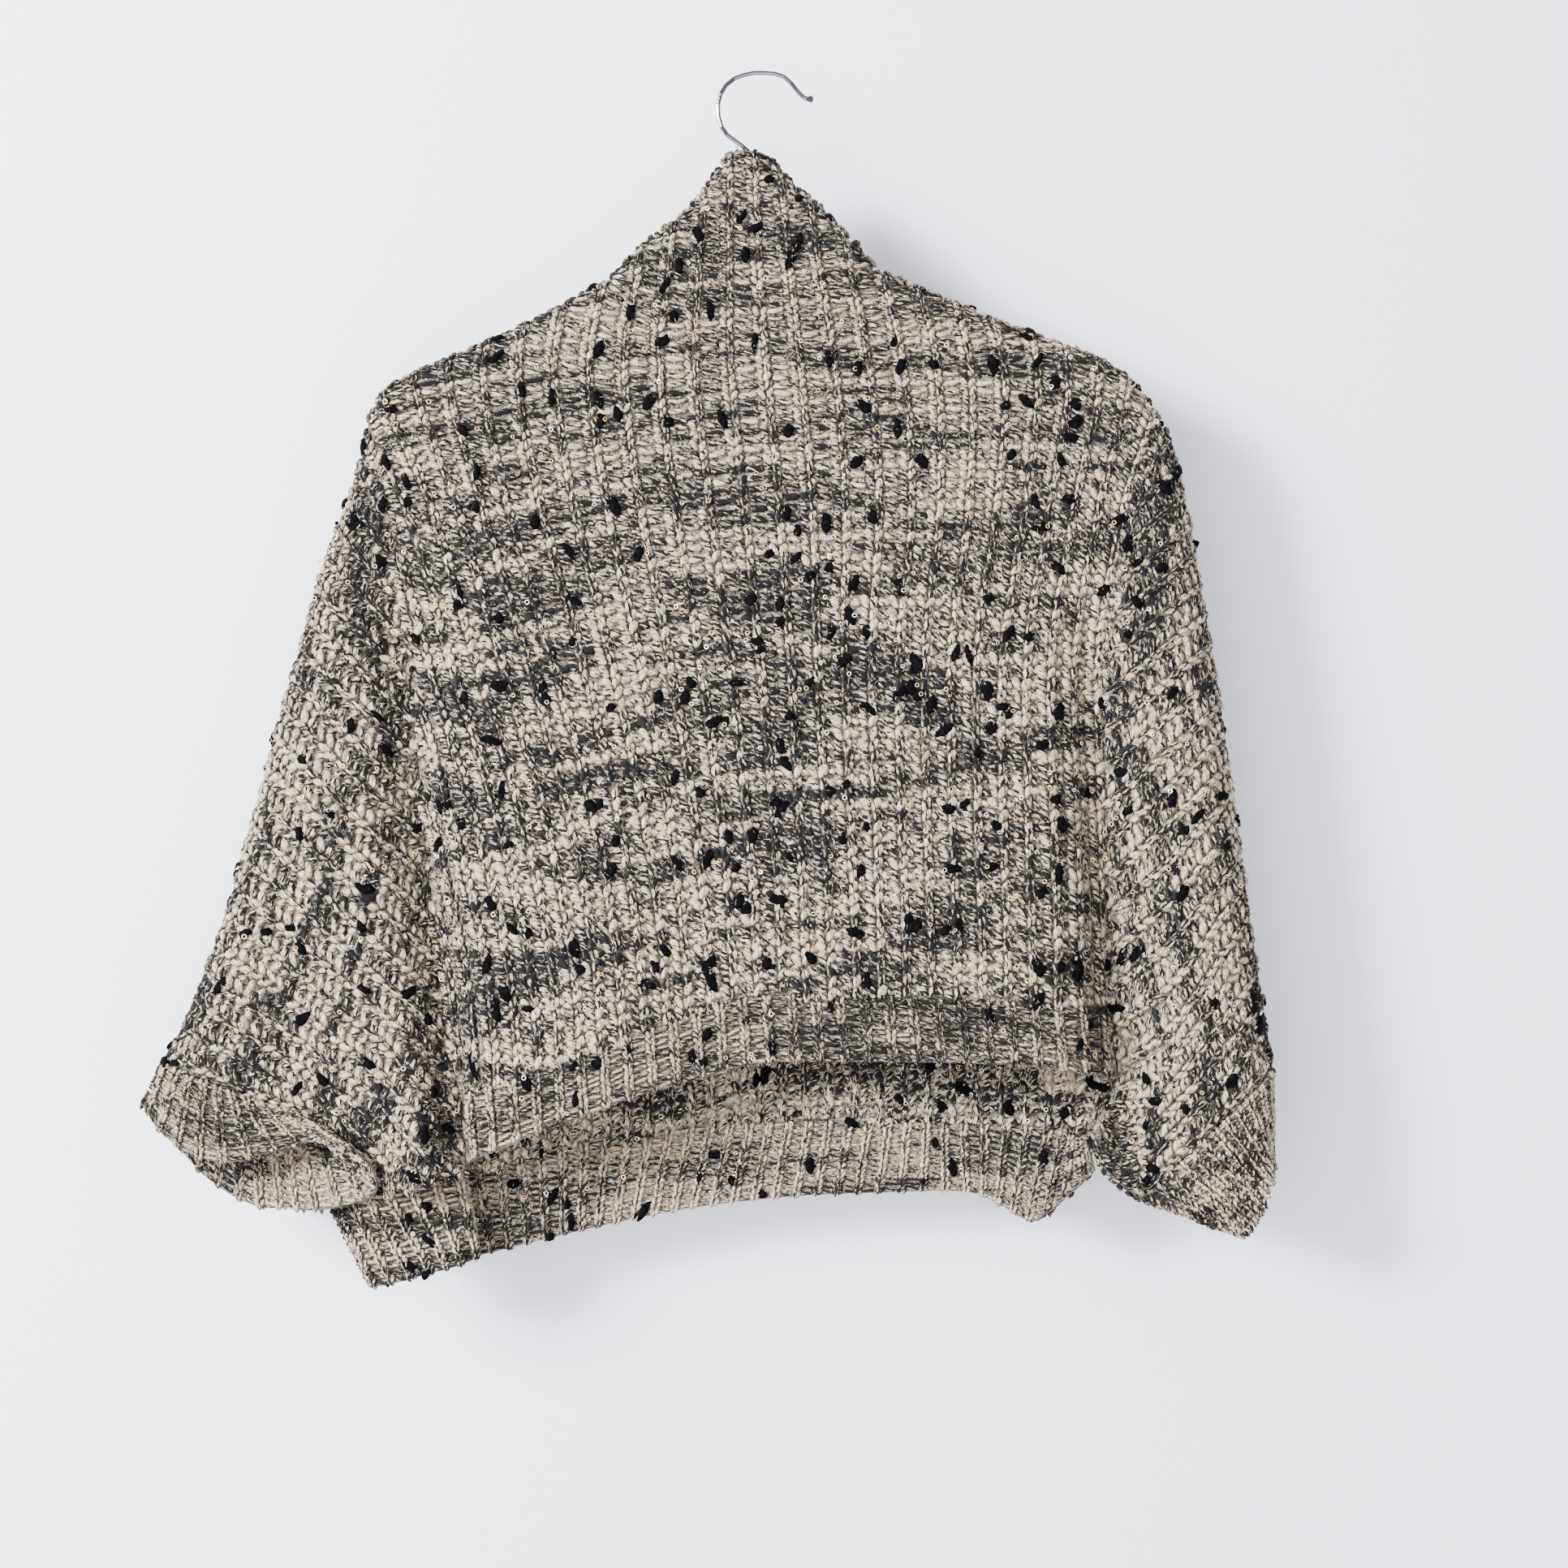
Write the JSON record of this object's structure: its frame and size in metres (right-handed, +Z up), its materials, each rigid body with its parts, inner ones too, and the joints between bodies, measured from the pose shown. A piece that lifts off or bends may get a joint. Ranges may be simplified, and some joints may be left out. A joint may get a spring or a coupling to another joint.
{
  "type": "turtleneck sweater on a hanger",
  "caption": "Chunky ribbed turtleneck sweater with batwing sleeves and a short front hem, hanging from the hook of a shoulder hanger.",
  "frame": {"origin": "inner top of the hanger's hook, where a rail or wall hook carries it", "axes": "+X to the right of the garment seen from the front, +Y from its front to its back, +Z up"},
  "size_m": [0.6416, 0.0678, 0.6911],
  "materials": {
    "heather_knit": "chunky half-cardigan rib in ecru heather yarn with black slubs and small sequins",
    "heather_rib": "narrow rib in the same ecru heather yarn",
    "hanger_plastic": "satin black moulding",
    "hook_steel": "bright chromed wire"
  },
  "bodies": {
    "root": {"front": "heather_knit", "back": "heather_knit", "sleeve_left": "heather_knit", "sleeve_right": "heather_knit", "collar": "heather_knit", "hem_rib_front": "heather_rib", "hem_rib_back": "heather_rib", "cuff_left": "heather_rib", "cuff_right": "heather_rib", "hanger": "hanger_plastic", "hook": "hook_steel"}
  },
  "joints": []
}
